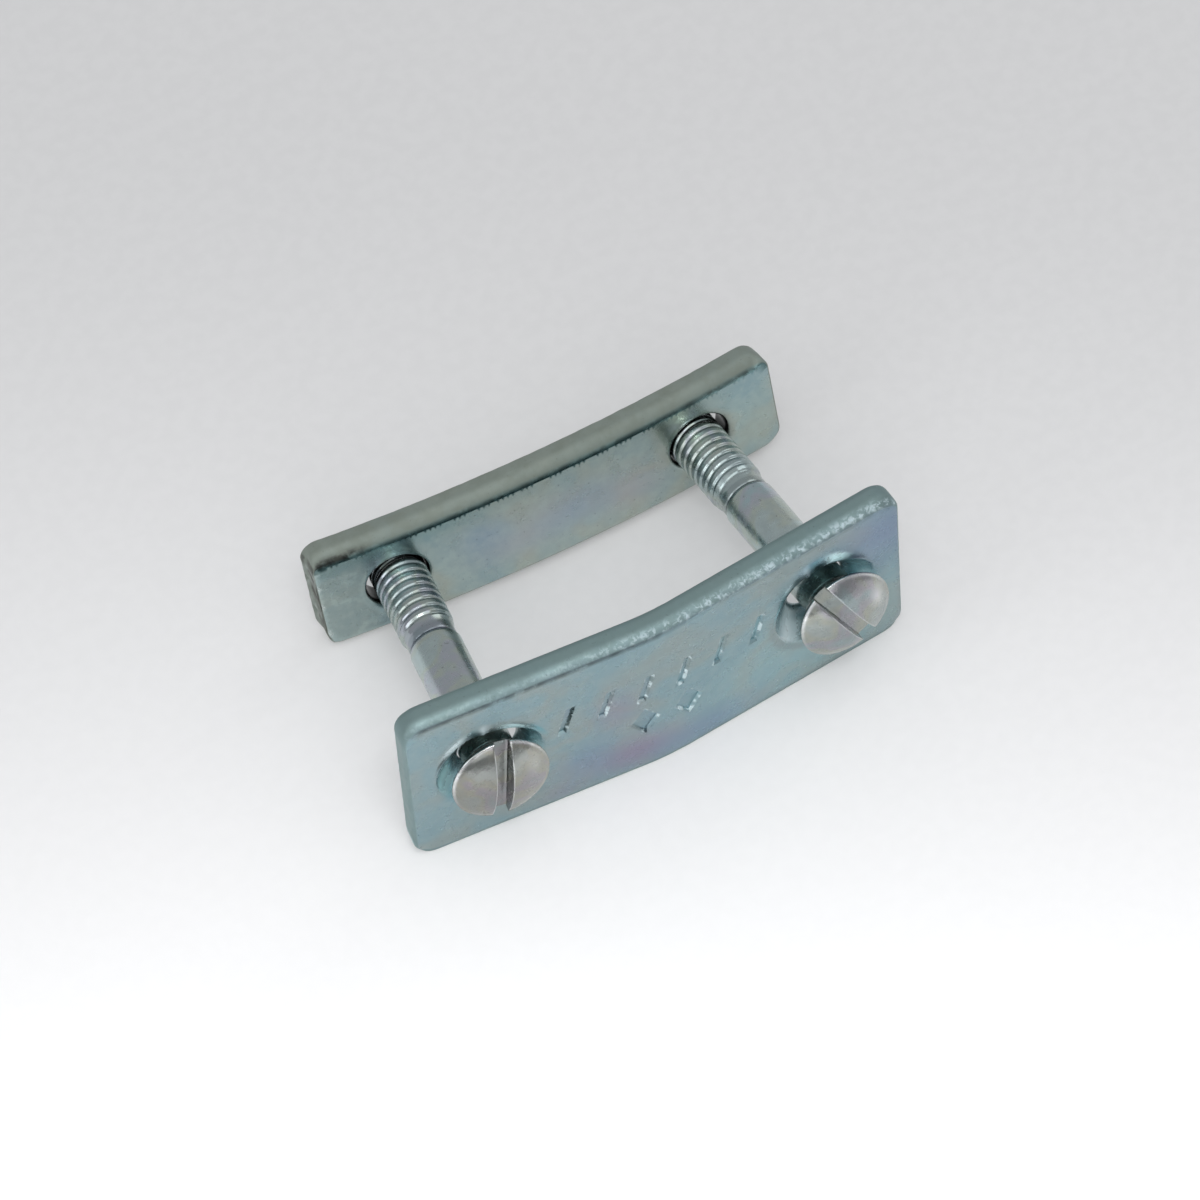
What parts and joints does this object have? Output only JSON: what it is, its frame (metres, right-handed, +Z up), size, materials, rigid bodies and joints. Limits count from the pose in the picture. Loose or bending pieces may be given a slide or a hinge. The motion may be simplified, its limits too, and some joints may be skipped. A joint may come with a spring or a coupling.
{
  "type": "belt fastener",
  "caption": "Screw fastener that joins the ends of an open-ended V-belt: a wide countersunk plate and a narrow tapped plate drawn together by two slotted screws.",
  "frame": {"origin": "middle of the part's box, on the plane it stands on", "axes": "+X along the plates' length, -Y towards the side with the screw heads, +Z up across the plates' width"},
  "size_m": [0.0374, 0.0239, 0.017],
  "materials": {
    "plate_front": "bright blue zinc plating, satin",
    "plate_rear": "bright blue zinc plating, satin",
    "screws": "bright zinc plating, semi-gloss"
  },
  "bodies": {
    "front_plate": {"front_plate": "plate_front"},
    "rear_plate": {"rear_plate": "plate_rear"},
    "screw_left": {"screw_left": "screws"},
    "screw_right": {"screw_right": "screws"}
  },
  "joints": [
    {"name": "screw_left_turn", "type": "hinge", "parent": "front_plate", "child": "screw_left", "pos_m": [-0.01054, 0.00816, 0.00445], "axis": [0.108, 0.9717, -0.2101], "range_deg": [-155, 2572]},
    {"name": "screw_right_turn", "type": "hinge", "parent": "front_plate", "child": "screw_right", "pos_m": [0.01206, 0.0077, 0.00455], "axis": [-0.0663, 0.9753, -0.2109], "range_deg": [-155, 2572]},
    {"name": "rear_plate_draw", "type": "slide", "parent": "front_plate", "child": "rear_plate", "axis": [-0.0209, -0.9772, 0.2113], "range_m": [-0.0003, 0.005]}
  ],
  "couplings": [
    {"joint": "screw_left_turn", "follows": "rear_plate_draw", "rad_per_m": 8976},
    {"joint": "screw_right_turn", "follows": "rear_plate_draw", "rad_per_m": 8976}
  ]
}
